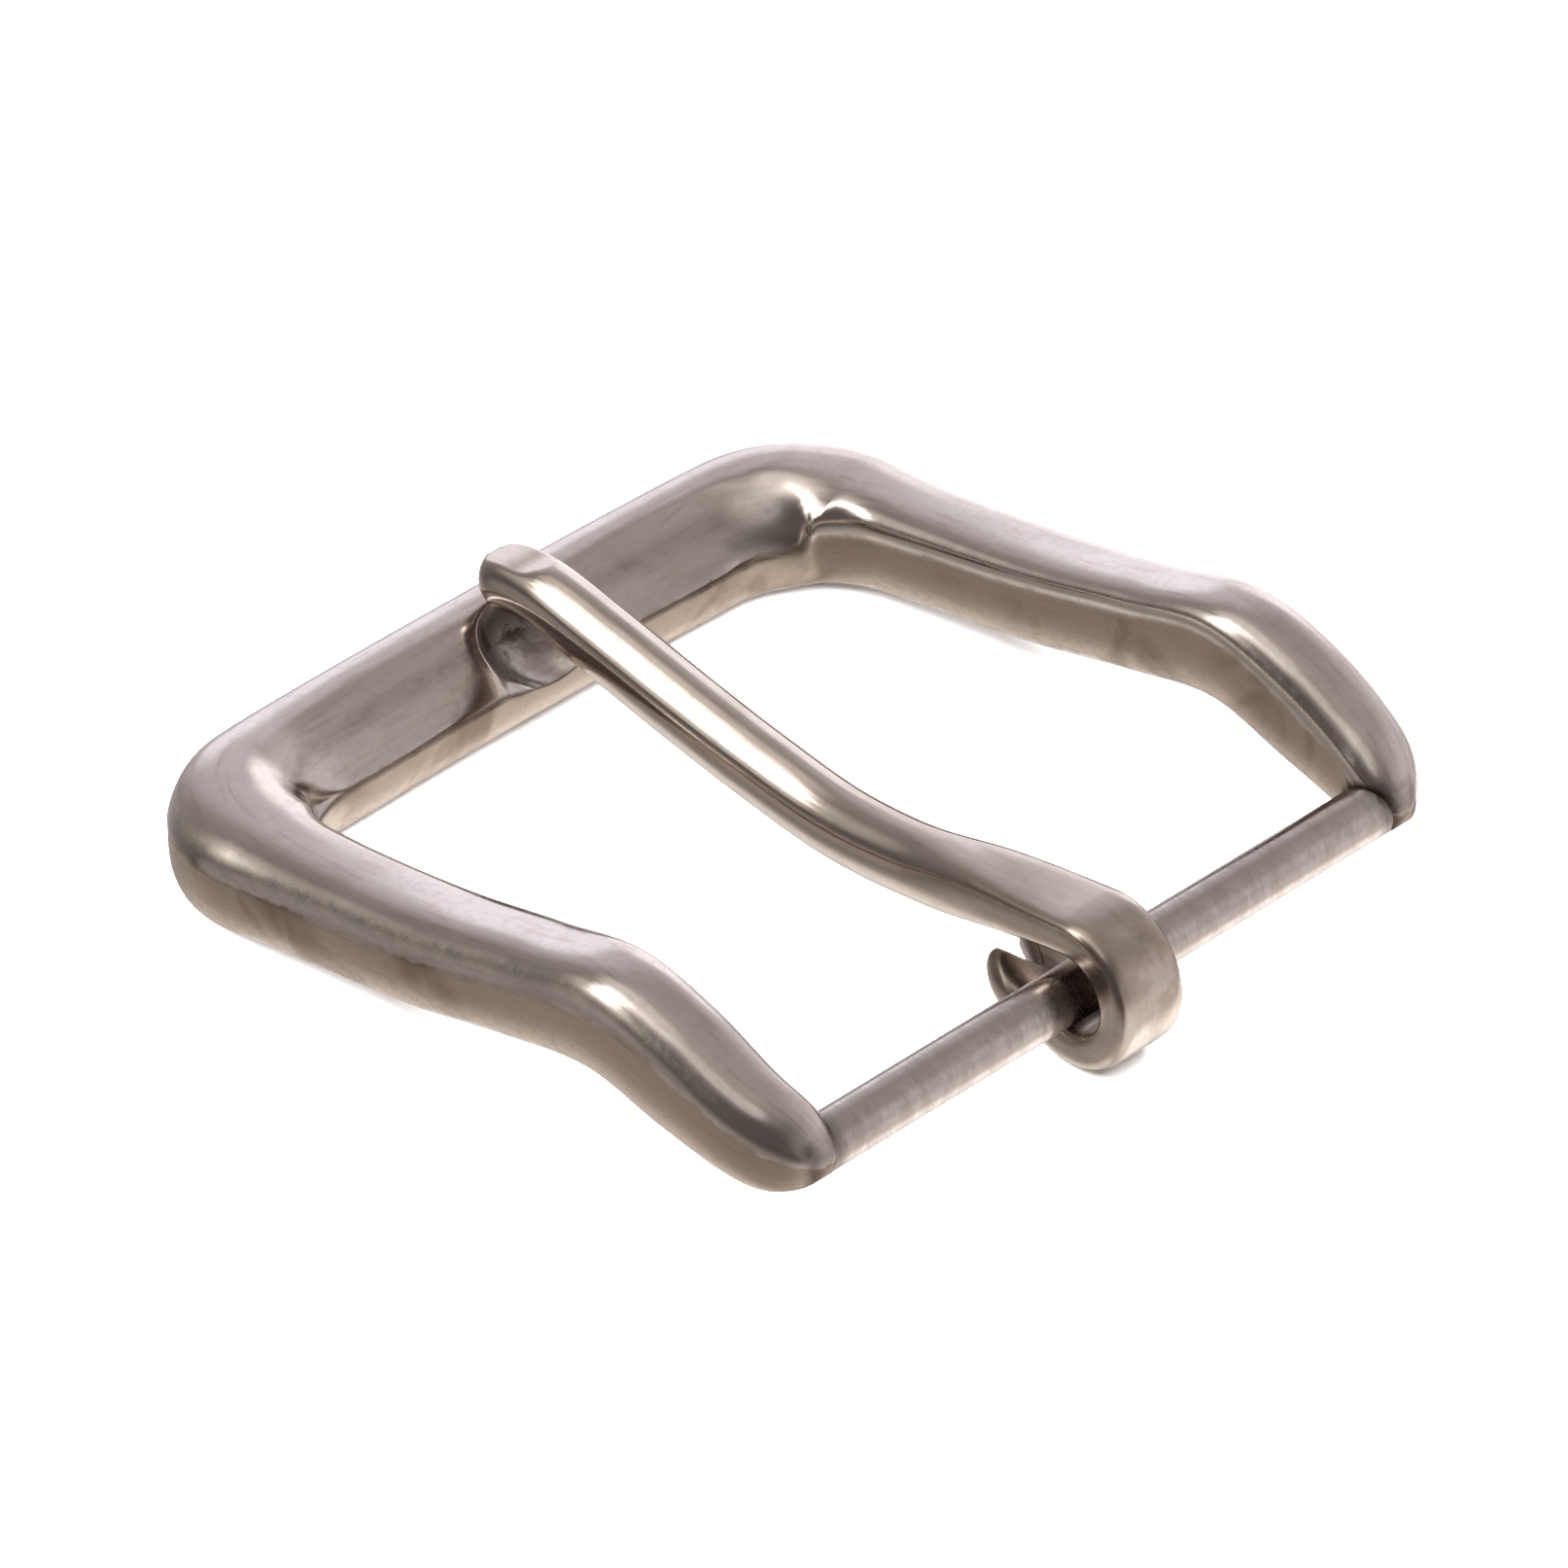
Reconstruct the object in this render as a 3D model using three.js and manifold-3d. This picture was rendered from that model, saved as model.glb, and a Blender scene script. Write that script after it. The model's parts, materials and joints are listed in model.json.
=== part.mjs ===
// A heel-bar belt buckle for a 38 mm strap: a cast U-shaped frame, a round heel bar let into the
// frame's two ends, and a forged tongue whose flattened root is curled round the bar.
// Millimetres. +X runs along the heel bar, +Y from the heel bar to the front bar, +Z up to the face.
// The pieces are drawn round the heel bar's axis, and the assembly is then stood on z = 0.
import * as THREE from "three";
import { LoftGeometry } from "three/addons/geometries/LoftGeometry.js";
import { mergeVertices } from "three/addons/utils/BufferGeometryUtils.js";
import Module from "manifold-3d";

// ---- driving dimensions ------------------------------------------------------------------------
const clearWidth = 40; // between the frame's arms along the bar: a 38 mm strap and 2 mm of play
const barRadius = 1.5;
const barHeight = 4.05; // of the bar's axis above the surface that the buckle lies on
const barPlace = -21.08; // of the bar's axis in Y, which centres the whole buckle on the origin
const socketDepth = 1.7; // how far each end of the bar is let into its arm
const socketGap = 0.2; // round each end of the bar

const loopOuter = 4.3; // the tongue's curled root, which stands on the same surface as the frame
const loopThick = 2.1;
const loopWidth = 4.6;
const loopBack = 0.3; // how far the loop's middle lies behind the bar's axis
const loopRise = loopOuter - barHeight; // the bar rests low in the loop
const loopMid = loopOuter - loopThick / 2;

const frontY = 42.9; // the front bar's middle line beside the corners, from the bar's axis
const frontBow = 0.3; // how far the front bar bows outwards at its middle
const heelReach = 2.1; // how far the frame's ends reach behind the bar's axis
const armX = 22.35; // an arm's middle line at the heel bar
const armSpread = 0.2; // how much further out the arm is at the front corner
const cornerRadius = 5.0; // of the frame's middle line, in plan
const webRadius = 4.6; // of the opening's front corners

const tipAcross = 0.9; // the tongue lies a little askew: its tip and the notch are off the middle
const rootAcross = -0.5; // where the tongue's root sits on the bar
const tonguePlan = 44; // from the bar's axis to the middle of the notch

// ---- frame -------------------------------------------------------------------------------------
// The frame's section at stations along one half, from the heel end to the middle of the front bar.
// at: distance along the middle line. floor: height of the underside, from the bar's axis.
// wall: height of the side walls as a share of the height, under the dome of the top.
// crest: how far outwards the dome's top is pushed. shift: how far outwards the whole section is.
// lean: how much higher the outer wall is than the section's middle, and the inner wall lower.
// outer and inner: powers of the dome's superellipse on its two sides. 1 is a straight slope,
// 2 is round, and more is flatter on top with a rounder edge.
const archLength = frontY - cornerRadius + heelReach;
const cornerLength = (cornerRadius * Math.PI) / 2;
const halfLength = archLength + cornerLength + armX + armSpread - cornerRadius;
const table = -barHeight;
const slopeStart = archLength + cornerLength + 3; // where the front bar has its full inner slope
const keys = ["at", "floor", "width", "height", "wall", "crest", "shift", "lean", "outer", "inner"];
const stations = [
  [0, -2.2, 3.9, 3.95, 0.56, 0, -1.2, 0, 2.3, 2.3],
  [3.7, -1.6, 4.45, 5, 0.66, 0, -0.15, 0, 2.6, 2.6],
  [8.4, -0.45, 4.8, 6.05, 0.7, -0.1, 0.2, 0, 2.8, 2.8],
  [13.4, 0.75, 4.9, 5.9, 0.7, -0.2, 0.3, -0.2, 2.8, 2.8],
  [19.4, -0.25, 5, 5.55, 0.69, -0.3, 0.2, -0.3, 2.8, 2.8],
  [26.4, -1.8, 5.3, 5.5, 0.68, -0.3, 0.15, -0.3, 2.8, 2.8],
  [33.5, -2.9, 5.45, 5.55, 0.66, -0.3, 0, -0.2, 2.8, 2.7],
  [archLength - 1.5, -3.6, 5.8, 5.8, 0.64, -0.6, -0.05, 0, 2.9, 2.3],
  [archLength + cornerLength / 2, table, 6.5, 6.15, 0.6, -0.8, 0.05, 0.3, 3.1, 1.7],
  [archLength + cornerLength, table, 6.7, 6, 0.57, 0.1, 0.1, 0.3, 2.8, 1.4],
  [slopeStart, table, 6.6, 5.8, 0.57, 0.8, 0.1, 0.25, 2.5, 1.3],
  [halfLength, table, 6.5, 5.65, 0.57, 0.9, 0.1, 0.25, 2.5, 1.3],
];
const cornerHalf = 3.3; // half the section's width in the corner
const sectionPoints = 24;
const basePower = 5; // of the base's superellipse: high is nearly square
const baseCut = 0.1; // depth of the superellipse's foot that the flat underside cuts off
const noseHeight = 2.7; // length over which the heel end closes, seen from the side
const noseWidth = 2.1; // and seen from above
const noseSteps = 8;
const frameSteps = 96;

const stationCurve = new THREE.CubicInterpolant(
  stations.map((station) => station[0]),
  stations.flat(),
  keys.length,
);

function sectionAt(distance) {
  const values = stationCurve.evaluate(distance);
  const section = Object.fromEntries(keys.map((key, i) => [key, values[i]]));
  section.floor = Math.max(section.floor, table);
  section.web = webAt(distance);
  return section;
}

// How far the opening's rounded front corner stands inside the section's own inner wall. The web is
// the part of a circle that touches the arm's wall and the front bar's wall.
function webAt(distance) {
  const inner = cornerRadius - cornerHalf;
  const reach = webRadius - inner;
  const fromDiagonal = Math.abs(distance - archLength - cornerLength / 2);
  const straight = fromDiagonal - cornerLength / 2;
  if (straight > 0) {
    return webRadius - Math.sqrt(webRadius ** 2 - Math.max(0, reach - straight) ** 2);
  }
  const turn = fromDiagonal / cornerRadius;
  const chord = Math.sqrt(webRadius ** 2 - 2 * (reach * Math.sin(turn)) ** 2);
  return inner + Math.SQRT2 * reach * Math.cos(turn) - chord;
}

// One point of the section's outline: out is away from the opening, up is above the underside.
function outlinePoint(section, angle) {
  const c = Math.cos(angle);
  const s = Math.sin(angle);
  const domePower = c >= 0 ? section.outer : section.inner;
  const power = 2 / (s >= 0 ? domePower : basePower);
  const across = Math.sign(c) * Math.abs(c) ** power;
  const rise = Math.abs(s) ** power;
  const out = (section.width / 2 + (c < 0 ? section.web : 0)) * across;
  const wall = section.wall * section.height + section.lean * across;
  if (s < 0) return { out, up: Math.max(0, wall - (wall + baseCut) * rise) };
  return { out: out + section.crest * rise, up: wall + (section.height - wall) * rise };
}

// The part of a rounded end that is reached at a distance from its very end.
function roundedEnd(distance, length) {
  const left = Math.max(0, 1 - distance / length);
  return Math.sqrt(1 - left ** 2);
}

function framePlan() {
  const cornerX = armX + armSpread - cornerRadius;
  const cornerY = frontY - cornerRadius;
  const plan = new THREE.Path();
  plan.moveTo(-armX, -heelReach);
  plan.lineTo(-armX - armSpread, cornerY);
  plan.absarc(-cornerX, cornerY, cornerRadius, Math.PI, Math.PI / 2, true);
  plan.quadraticCurveTo(0, frontY + 2 * frontBow, cornerX, frontY);
  plan.absarc(cornerX, cornerY, cornerRadius, Math.PI / 2, 0, true);
  plan.lineTo(armX, -heelReach);
  return plan;
}

function frameRing(plan, distance) {
  const planLength = plan.getLength();
  const fromEnd = Math.min(distance, planLength - distance);
  const section = sectionAt(Math.min(fromEnd, halfLength));
  const narrowing = roundedEnd(fromEnd, noseWidth);
  const lowering = roundedEnd(fromEnd, noseHeight);
  const middle = plan.getPointAt(distance / planLength);
  const ahead = plan.getTangentAt(distance / planLength);
  const ring = [];
  for (let i = 0; i < sectionPoints; i += 1) {
    const point = outlinePoint(section, (2 * Math.PI * i) / sectionPoints);
    const out = point.out * narrowing + section.shift;
    const up = section.height / 2 + (point.up - section.height / 2) * lowering;
    const x = middle.x - ahead.y * out;
    const y = middle.y + ahead.x * out;
    ring.push(new THREE.Vector3(x, y, section.floor + up));
  }
  return ring;
}

// ---- tongue ------------------------------------------------------------------------------------
const shankRadius = 1.95;
const tipRadius = 1.85;
const tailAngle = -72; // where the tail leaves the loop, in degrees round the loop from +Y
const tailLength = 5.7;
const tailThin = 1.75; // thickness at the tail's tip
const loopLeave = 82; // where the shank leaves the loop
const shankLine = [
  [6, 2.36],
  [12, 0.98],
  [18, 0.42],
  [24, 0.93],
  [30, 1.8],
  [36, 2.85],
  [40, 3.5],
  [42.5, 3.45],
  [44.8, 2.85],
]; // the shank's middle line as [Y, Z], from the loop to the tip
const tonguePoints = 20;
const tongueSteps = 80;
const tailRound = 1.1; // length over which the tail's end closes
const tipRound = 1.7; // and the tip's
const flatRun = 12; // length over which the strap of the loop turns into the round shank
const slimRun = 14; // length of the shank's taper to the tip
const strapPower = 4; // of the strap's superellipse

function loopPoint(degrees) {
  const angle = THREE.MathUtils.degToRad(degrees);
  return new THREE.Vector2(
    loopMid * Math.cos(angle) - loopBack,
    loopMid * Math.sin(angle) + loopRise,
  );
}

function tailTip() {
  const slope = THREE.MathUtils.degToRad(tailAngle + 90);
  const reach = new THREE.Vector2(Math.cos(slope), Math.sin(slope));
  return loopPoint(tailAngle).addScaledVector(reach, tailLength);
}

function tongueLine() {
  const line = new THREE.Path();
  const tip = tailTip();
  const start = loopPoint(tailAngle);
  line.moveTo(tip.x, tip.y);
  line.lineTo(start.x, start.y);
  line.absarc(
    -loopBack,
    loopRise,
    loopMid,
    THREE.MathUtils.degToRad(tailAngle),
    THREE.MathUtils.degToRad(loopLeave - 360),
    true,
  );
  line.splineThru(shankLine.map(([y, z]) => new THREE.Vector2(y, z)));
  return line;
}

function tongueRing(line, distance) {
  const lineLength = line.getLength();
  const middle = line.getPointAt(distance / lineLength);
  const ahead = line.getTangentAt(distance / lineLength);
  const loopEnd = tailLength + loopMid * THREE.MathUtils.degToRad(tailAngle + 360 - loopLeave);
  const flat = 1 - THREE.MathUtils.smoothstep(distance, loopEnd, loopEnd + flatRun);
  const slim = THREE.MathUtils.smoothstep(distance, lineLength - slimRun, lineLength);
  const radius = THREE.MathUtils.lerp(shankRadius, tipRadius, slim);
  const ends = roundedEnd(lineLength - distance, tipRound) * roundedEnd(distance, tailRound);
  const strap = THREE.MathUtils.lerp(tailThin, loopThick, Math.min(1, distance / tailLength)) / 2;
  const thick = THREE.MathUtils.lerp(radius, strap, flat) * ends;
  const wide = THREE.MathUtils.lerp(radius, loopWidth / 2, flat) * ends;
  const power = 2 / THREE.MathUtils.lerp(2, strapPower, flat);
  const ring = [];
  for (let i = 0; i < tonguePoints; i += 1) {
    const angle = (-2 * Math.PI * i) / tonguePoints;
    const c = Math.cos(angle);
    const s = Math.sin(angle);
    const across = wide * Math.sign(c) * Math.abs(c) ** power;
    const up = thick * Math.sign(s) * Math.abs(s) ** power;
    ring.push(new THREE.Vector3(across, middle.x - ahead.y * up, middle.y + ahead.x * up));
  }
  return ring;
}

// ---- solids ------------------------------------------------------------------------------------
const wasm = await Module();
wasm.setup();

function solidFrom(geometry) {
  const bare = new THREE.BufferGeometry().copy(geometry);
  bare.deleteAttribute("normal");
  bare.deleteAttribute("uv");
  const merged = mergeVertices(bare);
  const vertProperties = merged.attributes.position.array;
  const triVerts = new Uint32Array(merged.index.array);
  return new wasm.Manifold(new wasm.Mesh({ numProp: 3, vertProperties, triVerts }));
}

function geometryFrom(solid) {
  const mesh = solid.getMesh();
  const geometry = new THREE.BufferGeometry();
  geometry.setAttribute("position", new THREE.BufferAttribute(mesh.vertProperties, 3));
  geometry.setIndex(new THREE.BufferAttribute(mesh.triVerts, 1));
  geometry.computeVertexNormals();
  return geometry;
}

// Distances along a line whose ends are rounded: close together in the ends, even between them.
function loftStops(length, first, last, steps) {
  const stops = [];
  for (let i = 1; i < noseSteps; i += 1) {
    stops.push(first * (1 - Math.cos((Math.PI * i) / 2 / noseSteps)));
  }
  const run = length - first - last;
  for (let i = 0; i <= steps; i += 1) stops.push(first + (run * i) / steps);
  for (let i = noseSteps - 1; i >= 1; i -= 1) {
    stops.push(length - last * (1 - Math.cos((Math.PI * i) / 2 / noseSteps)));
  }
  return stops;
}

function barAlongX(radius, length) {
  return new THREE.CylinderGeometry(radius, radius, length, 32).rotateZ(Math.PI / 2);
}

// The rounded scoop in the front bar's inner slope that the tip of the tongue lies over.
function makeNotch() {
  const scoopRadius = 4.6;
  const scoopY = frontY - 3;
  const scoopZ = 2.75;
  return new THREE.SphereGeometry(scoopRadius, 28, 18).translate(tipAcross + 0.2, scoopY, scoopZ);
}

function makeFrame() {
  const plan = framePlan();
  const stops = loftStops(plan.getLength(), noseHeight, noseHeight, frameSteps);
  const rings = stops.map((stop) => frameRing(plan, stop));
  const casting = solidFrom(new LoftGeometry(rings, { capStart: true, capEnd: true }));
  const socketLength = clearWidth + 2 * (socketDepth + socketGap);
  const sockets = solidFrom(barAlongX(barRadius + socketGap, socketLength));
  return geometryFrom(casting.subtract(sockets).subtract(solidFrom(makeNotch())));
}

// The wedge that splits the tail into two lobes, drawn flat and then turned along the tail.
function makeSplit() {
  const openHalf = 0.85;
  const rootHalf = 0.4;
  const depth = 2.4;
  const past = 1; // how far the wedge stands out of the tail's end
  const thick = 2.6; // of the wedge, more than the tail's
  const wedge = new THREE.Shape();
  wedge.moveTo(-openHalf, past);
  wedge.lineTo(-rootHalf, -depth);
  wedge.absarc(0, -depth, rootHalf, Math.PI, 2 * Math.PI, false);
  wedge.lineTo(openHalf, past);
  const tip = tailTip();
  return new THREE.ExtrudeGeometry(wedge, { depth: thick, bevelEnabled: false, curveSegments: 6 })
    .translate(0, 0, -thick / 2)
    .rotateX(THREE.MathUtils.degToRad(tailAngle + 90))
    .translate(0, tip.x, tip.y);
}

function makeTongue() {
  const line = tongueLine();
  const rings = loftStops(line.getLength(), tailRound, tipRound, tongueSteps).map((s) =>
    tongueRing(line, s),
  );
  const forging = solidFrom(new LoftGeometry(rings, { capStart: true, capEnd: true }));
  return geometryFrom(forging.subtract(solidFrom(makeSplit())));
}

// ---- assembly ----------------------------------------------------------------------------------
function piece(name, geometry, color, roughness) {
  const material = new THREE.MeshStandardMaterial({ color, roughness, metalness: 1 });
  const mesh = new THREE.Mesh(geometry, material);
  mesh.name = name;
  return mesh;
}

const frame = piece("frame", makeFrame(), 0xa69d97, 0.35);
const heelBar = piece("heel_bar", barAlongX(barRadius, clearWidth + 2 * socketDepth), 0xa09896, 0.4);
const tongue = piece("tongue", makeTongue(), 0xa89f97, 0.28);
tongue.position.x = rootAcross;
tongue.rotation.z = -Math.atan2(tipAcross - rootAcross, tonguePlan);

const buckle = new THREE.Group();
buckle.add(frame, heelBar, tongue);
buckle.position.set(0, barPlace, barHeight);

export default buckle;
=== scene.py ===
import json
from math import cos, exp, pi, radians, sin, sqrt

import bmesh
import bpy
from mathutils import Euler, Matrix, Vector


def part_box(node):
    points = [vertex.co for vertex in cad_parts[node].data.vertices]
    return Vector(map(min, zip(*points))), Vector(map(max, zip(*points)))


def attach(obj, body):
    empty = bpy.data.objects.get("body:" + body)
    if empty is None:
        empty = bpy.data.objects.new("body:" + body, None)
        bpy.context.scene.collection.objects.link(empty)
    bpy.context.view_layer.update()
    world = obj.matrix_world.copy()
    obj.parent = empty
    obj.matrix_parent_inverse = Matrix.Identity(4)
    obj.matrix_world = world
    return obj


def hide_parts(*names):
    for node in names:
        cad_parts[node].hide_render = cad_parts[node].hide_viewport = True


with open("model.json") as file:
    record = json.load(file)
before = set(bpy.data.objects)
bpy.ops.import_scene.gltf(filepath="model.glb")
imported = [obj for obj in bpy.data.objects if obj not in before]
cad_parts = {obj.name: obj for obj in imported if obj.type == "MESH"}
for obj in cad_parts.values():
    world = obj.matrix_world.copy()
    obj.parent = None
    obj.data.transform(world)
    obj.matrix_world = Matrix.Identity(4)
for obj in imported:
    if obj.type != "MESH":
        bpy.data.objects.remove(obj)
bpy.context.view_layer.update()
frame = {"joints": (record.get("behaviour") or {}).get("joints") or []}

mm = 0.001
hinge = frame["joints"][0]
barAxis = Vector(hinge["pos_m"])  # the heel bar's axis, and the place that every size below counts from
barLow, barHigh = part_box("heel_bar")
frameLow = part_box("frame")[0]
print("frame loaded, bar axis at", [round(value / mm, 2) for value in barAxis], "mm")


def blend(a, b, share):
    return a + (b - a) * share


def ease(low, high, value):  # smoothly from 0 at low to 1 at high
    share = min(1.0, max(0.0, (value - low) / (high - low)))
    return share * share * (3 - 2 * share)


def hump(value, middle, width):  # 1 at the middle, fading to 0 on both sides
    return exp(-(((value - middle) / width) ** 2))


def signedPower(value, power):
    return (1 if value >= 0 else -1) * abs(value) ** power


def roundedEnd(distance, length):  # share of the full section at a distance from a rounded end
    left = max(0.0, 1 - distance / length)
    return sqrt(max(0.0, 1 - left * left))


def smoothCurve(stations, column, at):  # a smooth line through the stations' values
    last = len(stations) - 1
    i = max(k for k in range(last) if k == 0 or stations[k][0] <= at)
    x0, x1 = stations[i][0], stations[i + 1][0]
    y0, y1 = stations[i][column], stations[i + 1][column]

    def climb(k):  # from station k to the next
        return (stations[k + 1][column] - stations[k][column]) / (stations[k + 1][0] - stations[k][0])

    def slope(k):
        if k == last:
            return 0.0
        return climb(0) if k == 0 else (climb(k - 1) + climb(k)) / 2

    t = (at - x0) / (x1 - x0)
    m0, m1 = slope(i) * (x1 - x0), slope(i + 1) * (x1 - x0)
    return (
        (2 * t**3 - 3 * t**2 + 1) * y0 + (t**3 - 2 * t**2 + t) * m0
        + (3 * t**2 - 2 * t**3) * y1 + (t**3 - t**2) * m1
    )


def evenly(points, count):  # the same closed outline with its points an equal way apart
    lengths = [0.0]
    for i in range(1, len(points)):
        lengths.append(lengths[-1] + (Vector(points[i][:2]) - Vector(points[i - 1][:2])).length)
    result, k = [], 0
    for i in range(count):
        want = lengths[-1] * i / (count - 1)
        while k < len(points) - 2 and lengths[k + 1] < want:
            k += 1
        share = (want - lengths[k]) / max(1e-9, lengths[k + 1] - lengths[k])
        result.append([blend(a, b, share) for a, b in zip(points[k], points[k + 1])])
    return result


def skin(name, rings, wearAndLight, body, node, softening=0):  # a closed skin over rings, with its wear, painted shade and painted highlights
    bm = bmesh.new()
    uvLayer = bm.loops.layers.uv.new("along")
    # the polish layer carries polish and painted wall shade, the grime layer mostly painted shade, the edge
    # layer edge wear and painted highlights
    polishAndShade = bm.verts.layers.float.new("polish_and_shade")
    dirtAndShade = bm.verts.layers.float.new("grime_and_shade")
    wearAndSheen = bm.verts.layers.float.new("edge")
    rows, columns = len(rings), len(rings[0])
    bmesh.ops.create_grid(bm, x_segments=rows - 1, y_segments=columns - 1, size=1)
    travelled = [0.0]
    for i in range(1, rows):
        middle = sum(rings[i], Vector()) / columns - sum(rings[i - 1], Vector()) / columns
        travelled.append(travelled[-1] + middle.length)
    around = [0.0]
    for k in range(1, columns):
        around.append(around[-1] + (rings[rows // 2][k] - rings[rows // 2][k - 1]).length)
    index = {}
    for v in bm.verts:
        index[v] = (round((v.co.x + 1) / 2 * (rows - 1)), round((v.co.y + 1) / 2 * (columns - 1)))
    for face in bm.faces:
        for loop in face.loops:
            i, k = index[loop.vert]
            loop[uvLayer].uv = (travelled[i], around[k])
    for v, (i, k) in index.items():
        v.co = rings[i][k] * mm + barAxis
        v[polishAndShade], v[dirtAndShade], v[wearAndSheen] = wearAndLight[i][k][:3]
    hollows = [v for v, (i, k) in index.items() if wearAndLight[i][k][3]]
    for _ in range(softening):
        bmesh.ops.smooth_vert(
            bm, verts=hollows, factor=0.5, use_axis_x=True, use_axis_y=True, use_axis_z=True,
        )
    bmesh.ops.remove_doubles(bm, verts=bm.verts[:], dist=1e-7)
    bmesh.ops.recalc_face_normals(bm, faces=bm.faces[:])
    for face in bm.faces:
        face.smooth = True
    return finishPiece(bm, name, body, node)


def finishPiece(bm, name, body, node):
    mesh = bpy.data.meshes.new(name)
    bm.to_mesh(mesh)
    bm.free()
    piece = bpy.data.objects.new(name, mesh)
    bpy.context.scene.collection.objects.link(piece)
    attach(piece, body)
    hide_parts(node)
    return piece


camera = {
    "azimuth": -46.911, "elevation": 35.897, "roll": 0.239,  # degrees
    "distance": 656.8,  # mm from the bar's axis
    "lens": 298.6, "sensor": 36,  # mm
    "aimAcross": -0.02436, "aimUp": 0.01435,  # the view's middle from the bar's, as shares of the distance
}


def makeCamera(cfg):
    turn = Euler((radians(90 - cfg["elevation"]), 0, radians(cfg["azimuth"]))).to_matrix()
    place = barAxis + turn @ Vector((0, 0, cfg["distance"] * mm))
    across, up = cfg["aimAcross"], cfg["aimUp"]
    aim = turn @ Vector((across, up, -1)).normalized()
    look = (-aim).to_track_quat("Z", "Y").to_matrix()
    data = bpy.data.cameras.new("camera")
    data.lens, data.sensor_width = cfg["lens"], cfg["sensor"]
    data.dof.use_dof = False
    data.clip_start, data.clip_end = 0.01, 50
    eye = bpy.data.objects.new("camera", data)
    roll = Matrix.Rotation(radians(-cfg["roll"]), 4, "Z")
    eye.matrix_world = Matrix.Translation(place) @ look.to_4x4() @ roll
    bpy.context.scene.collection.objects.link(eye)
    bpy.context.scene.camera = eye


makeCamera(camera)
print("camera placed")


casting = {
    "clearWidth": 40, "armX": 22.35, "armSpread": 0.2,
    "frontY": 42.9, "frontBow": 0.3, "heelReach": 1.75, "cornerRadius": 5.0,
    "noseHeight": 3.3, "noseWidth": 2.7,
    "base": 4.0, "baseCut": 0.1,
    "webRadius": 4.6, "frontHalf": 3.3,  # of the opening's corners, and half the section's width there
    "ringStep": 0.4, "fineStep": 0.2, "fineWithin": 7, "outline": 97,
    "softening": 20, "softReach": 4.4,  # passes that smooth the opening's two front corners, and how far
    "creaseBand": (-0.05, 0.2), "edgeBand": (1.05, 0.36),  # height over the wall, and half the width
    "slopeDarkBand": (1.75, 0.4), "slopeHighlightBand": (0.95, 0.4),
    "pocketReach": 1.4, "cornerReach": 4.2, "seamReach": 2.15,
    # painted shade: the crease, the seam round the heel bar and the notch under the tongue's tip are darkened
    # in colour; the corner pockets and a band on the front bar's slope are darker
    "creaseShade": 0.6, "pocketDark": 0.42, "seamShade": 0.65, "notchShade": 0.8, "slopeDark": 0.3,
    # painted highlights on the inner shoulder at the corners and along the front bar's slope
    "shoulderHighlight": 0.55, "slopeHighlight": 0.4, "insideShine": 0.45,
}
castingTable = (frameLow.z - barAxis.z) / mm
armLength = casting["frontY"] - casting["cornerRadius"] + casting["heelReach"]
cornerLength = casting["cornerRadius"] * pi / 2
halfFront = casting["armX"] + casting["armSpread"] - casting["cornerRadius"]
halfLength = armLength + cornerLength + halfFront
# along, floor, width, height, wall share, crest, shift, lean, outer dome power, inner dome power
castingStations = [
    (0, -1.9, 3.9, 3.95, 0.56, 0, -1.2, 0, 2.3, 2.3),
    (3.7, -1.45, 4.45, 5.0, 0.66, 0, -0.15, 0, 2.6, 2.6),
    (8.4, -0.45, 4.8, 6.05, 0.7, -0.1, 0.2, 0, 2.8, 2.8),
    (13.4, 0.75, 4.9, 5.9, 0.7, -0.2, 0.3, -0.2, 2.8, 2.8),
    (19.4, -0.25, 5.0, 5.55, 0.69, -0.3, 0.2, -0.3, 2.8, 2.8),
    (26.4, -1.8, 5.3, 5.5, 0.68, -0.3, 0.15, -0.3, 2.8, 2.8),
    (33.5, -2.9, 5.45, 5.55, 0.66, -0.3, 0, -0.2, 2.8, 2.7),
    (armLength - 1.5, -3.6, 5.8, 5.8, 0.64, -0.6, -0.05, 0, 2.9, 2.3),
    (armLength + cornerLength / 2, castingTable, 6.5, 6.15, 0.6, -0.8, 0.05, 0.3, 3.1, 1.7),
    (armLength + cornerLength, castingTable, 6.7, 6.0, 0.57, 0.1, 0.1, 0.3, 2.8, 1.4),
    (armLength + cornerLength + 3, castingTable, 6.6, 5.8, 0.57, 0.8, 0.1, 0.25, 2.5, 1.3),
    (halfLength, castingTable, 6.5, 5.65, 0.57, 0.9, 0.1, 0.25, 2.5, 1.3),
]


def castingPlan(cfg, along):  # place and heading of the middle line, from the left heel round to the right
    mirrored = along > halfLength
    s = 2 * halfLength - along if mirrored else along
    cornerX, cornerY = halfFront, cfg["frontY"] - cfg["cornerRadius"]
    if s <= armLength:
        x = -cfg["armX"] - cfg["armSpread"] * s / armLength
        y, tx, ty = s - cfg["heelReach"], 0.0, 1.0
    elif s <= armLength + cornerLength:
        angle = pi - (s - armLength) / cfg["cornerRadius"]
        x = -cornerX + cfg["cornerRadius"] * cos(angle)
        y = cornerY + cfg["cornerRadius"] * sin(angle)
        tx, ty = sin(angle), -cos(angle)
    else:
        x = -cornerX + s - armLength - cornerLength
        y = cfg["frontY"] + cfg["frontBow"] * (1 + cos(pi * x / cornerX)) / 2
        tx, ty = 1.0, 0.0
    if mirrored:
        return Vector((-x, y, 0)), Vector((tx, -ty, 0))
    return Vector((x, y, 0)), Vector((tx, ty, 0))


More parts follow.
